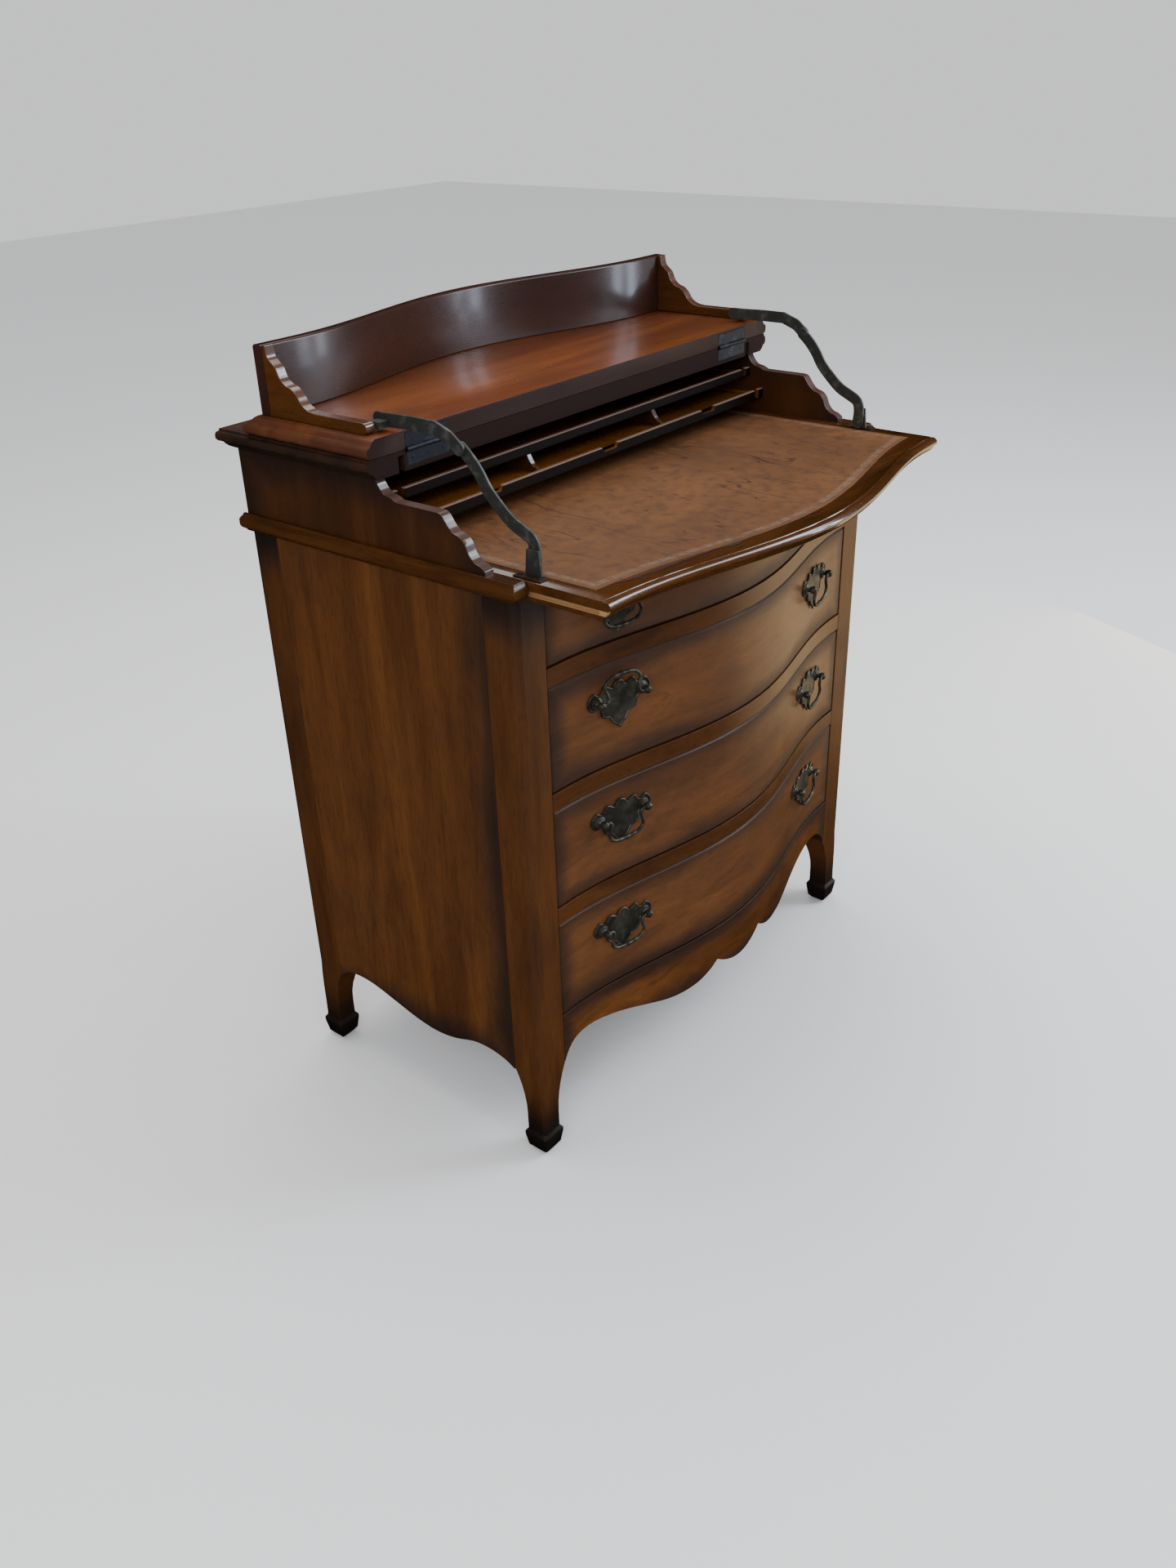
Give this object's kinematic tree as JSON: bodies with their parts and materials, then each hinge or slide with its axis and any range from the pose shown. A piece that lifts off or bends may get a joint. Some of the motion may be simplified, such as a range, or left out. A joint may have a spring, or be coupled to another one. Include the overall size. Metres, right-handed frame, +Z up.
{
  "type": "chest desk",
  "caption": "Serpentine-front chest desk with drawers, a fold-over gallery lid on steel arms and a leather-topped writing board that slides out beneath it.",
  "frame": {"origin": "middle of the desk's outer box on the floor", "axes": "+Z up, -Y out of the drawer fronts, +X to the right of someone standing at the back"},
  "size_m": [0.752, 0.58, 0.952],
  "materials": {
    "mahogany": "satin",
    "lid_mahogany": "gloss",
    "drawer_wood": "matte",
    "leather": "satin",
    "arm_steel": "satin",
    "hinge_steel": "satin",
    "bronze": "satin"
  },
  "bodies": {
    "case": {"apron_front": "mahogany", "back_panel": "drawer_wood", "top_board": "mahogany", "top_frame": "mahogany", "tray_shelf": "mahogany", "upper_shelf": "mahogany", "side_left": "mahogany", "side_right": "mahogany", "post_front_left": "mahogany", "post_front_right": "mahogany", "post_rear_left": "mahogany", "post_rear_right": "mahogany", "waist_moulding_left": "mahogany", "waist_moulding_right": "mahogany", "hinge_leaf_case_left": "hinge_steel", "hinge_leaf_case_right": "hinge_steel", "divider_left": "mahogany", "divider_right": "mahogany", "dust_board_1": "mahogany", "dust_board_2": "mahogany", "dust_board_3": "mahogany", "dust_board_4": "mahogany"},
    "lid": {"lid_board": "lid_mahogany", "gallery_back": "mahogany", "gallery_side_left": "mahogany", "gallery_side_right": "mahogany", "hinge_leaf_lid_left": "hinge_steel", "hinge_leaf_lid_right": "hinge_steel", "arm_bracket_left": "arm_steel", "arm_bracket_right": "arm_steel"},
    "writing_board": {"writing_board": "mahogany", "leather": "leather", "arm_foot_left": "arm_steel", "arm_foot_right": "arm_steel"},
    "arm_left": {"arm_left": "arm_steel"},
    "arm_right": {"arm_right": "arm_steel"},
    "drawer_1": {"drawer_front_1": "mahogany", "drawer_box_1": "drawer_wood", "backplate_1_left": "bronze", "backplate_1_right": "bronze"},
    "drawer_2": {"drawer_front_2": "mahogany", "drawer_box_2": "drawer_wood", "backplate_2_left": "bronze", "backplate_2_right": "bronze"},
    "drawer_3": {"drawer_front_3": "mahogany", "drawer_box_3": "drawer_wood", "backplate_3_left": "bronze", "backplate_3_right": "bronze"},
    "drawer_4": {"drawer_front_4": "mahogany", "drawer_box_4": "drawer_wood", "backplate_4_left": "bronze", "backplate_4_right": "bronze"},
    "bail_1_left": {"bail_1_left": "bronze"},
    "bail_1_right": {"bail_1_right": "bronze"},
    "bail_2_left": {"bail_2_left": "bronze"},
    "bail_2_right": {"bail_2_right": "bronze"},
    "bail_3_left": {"bail_3_left": "bronze"},
    "bail_3_right": {"bail_3_right": "bronze"},
    "bail_4_left": {"bail_4_left": "bronze"},
    "bail_4_right": {"bail_4_right": "bronze"}
  },
  "joints": [
    {"name": "lid_hinge", "type": "hinge", "parent": "case", "child": "lid", "pos_m": [0, 0.044, 0.858], "axis": [1, 0, 0], "range_deg": [0, 180]},
    {"name": "writing_slide", "type": "slide", "parent": "case", "child": "writing_board", "axis": [0, 1, 0], "range_m": [0, 0.095]},
    {"name": "arm_pivot_left", "type": "hinge", "parent": "writing_board", "child": "arm_left", "pos_m": [-0.328, -0.131, 0.7682], "axis": [1, 0, 0], "range_deg": [-48.5, 0]},
    {"name": "arm_pivot_right", "type": "hinge", "parent": "writing_board", "child": "arm_right", "pos_m": [0.328, -0.131, 0.7682], "axis": [1, 0, 0], "range_deg": [-48.5, 0]},
    {"name": "drawer_slide_1", "type": "slide", "parent": "case", "child": "drawer_1", "axis": [0, -1, 0], "range_m": [0, 0.26]},
    {"name": "drawer_slide_2", "type": "slide", "parent": "case", "child": "drawer_2", "axis": [0, -1, 0], "range_m": [0, 0.26]},
    {"name": "drawer_slide_3", "type": "slide", "parent": "case", "child": "drawer_3", "axis": [0, -1, 0], "range_m": [0, 0.26]},
    {"name": "drawer_slide_4", "type": "slide", "parent": "case", "child": "drawer_4", "axis": [0, -1, 0], "range_m": [0, 0.26]},
    {"name": "bail_swing_1_left", "type": "hinge", "parent": "drawer_1", "child": "bail_1_left", "pos_m": [-0.21516, -0.15229, 0.283], "axis": [-0.9785, 0.2062, 0], "range_deg": [0, 170]},
    {"name": "bail_swing_1_right", "type": "hinge", "parent": "drawer_1", "child": "bail_1_right", "pos_m": [0.21516, -0.15229, 0.283], "axis": [-0.9785, -0.2062, 0], "range_deg": [0, 170]},
    {"name": "bail_swing_2_left", "type": "hinge", "parent": "drawer_2", "child": "bail_2_left", "pos_m": [-0.21516, -0.15229, 0.436], "axis": [-0.9785, 0.2062, 0], "range_deg": [0, 170]},
    {"name": "bail_swing_2_right", "type": "hinge", "parent": "drawer_2", "child": "bail_2_right", "pos_m": [0.21516, -0.15229, 0.436], "axis": [-0.9785, -0.2062, 0], "range_deg": [0, 170]},
    {"name": "bail_swing_3_left", "type": "hinge", "parent": "drawer_3", "child": "bail_3_left", "pos_m": [-0.21516, -0.15229, 0.587], "axis": [-0.9785, 0.2062, 0], "range_deg": [-175, 0]},
    {"name": "bail_swing_3_right", "type": "hinge", "parent": "drawer_3", "child": "bail_3_right", "pos_m": [0.21516, -0.15229, 0.587], "axis": [-0.9785, -0.2062, 0], "range_deg": [0, 170]},
    {"name": "bail_swing_4_left", "type": "hinge", "parent": "drawer_4", "child": "bail_4_left", "pos_m": [-0.21516, -0.15229, 0.703], "axis": [-0.9785, 0.2062, 0], "range_deg": [0, 170]},
    {"name": "bail_swing_4_right", "type": "hinge", "parent": "drawer_4", "child": "bail_4_right", "pos_m": [0.21516, -0.15229, 0.703], "axis": [-0.9785, -0.2062, 0], "range_deg": [0, 170]}
  ],
  "couplings": [
    {"joint": "writing_slide", "follows": "lid_hinge", "m_per_rad": 0.0302},
    {"joint": "arm_pivot_left", "follows": "lid_hinge", "ratio": -0.2694},
    {"joint": "arm_pivot_right", "follows": "lid_hinge", "ratio": -0.2694}
  ]
}
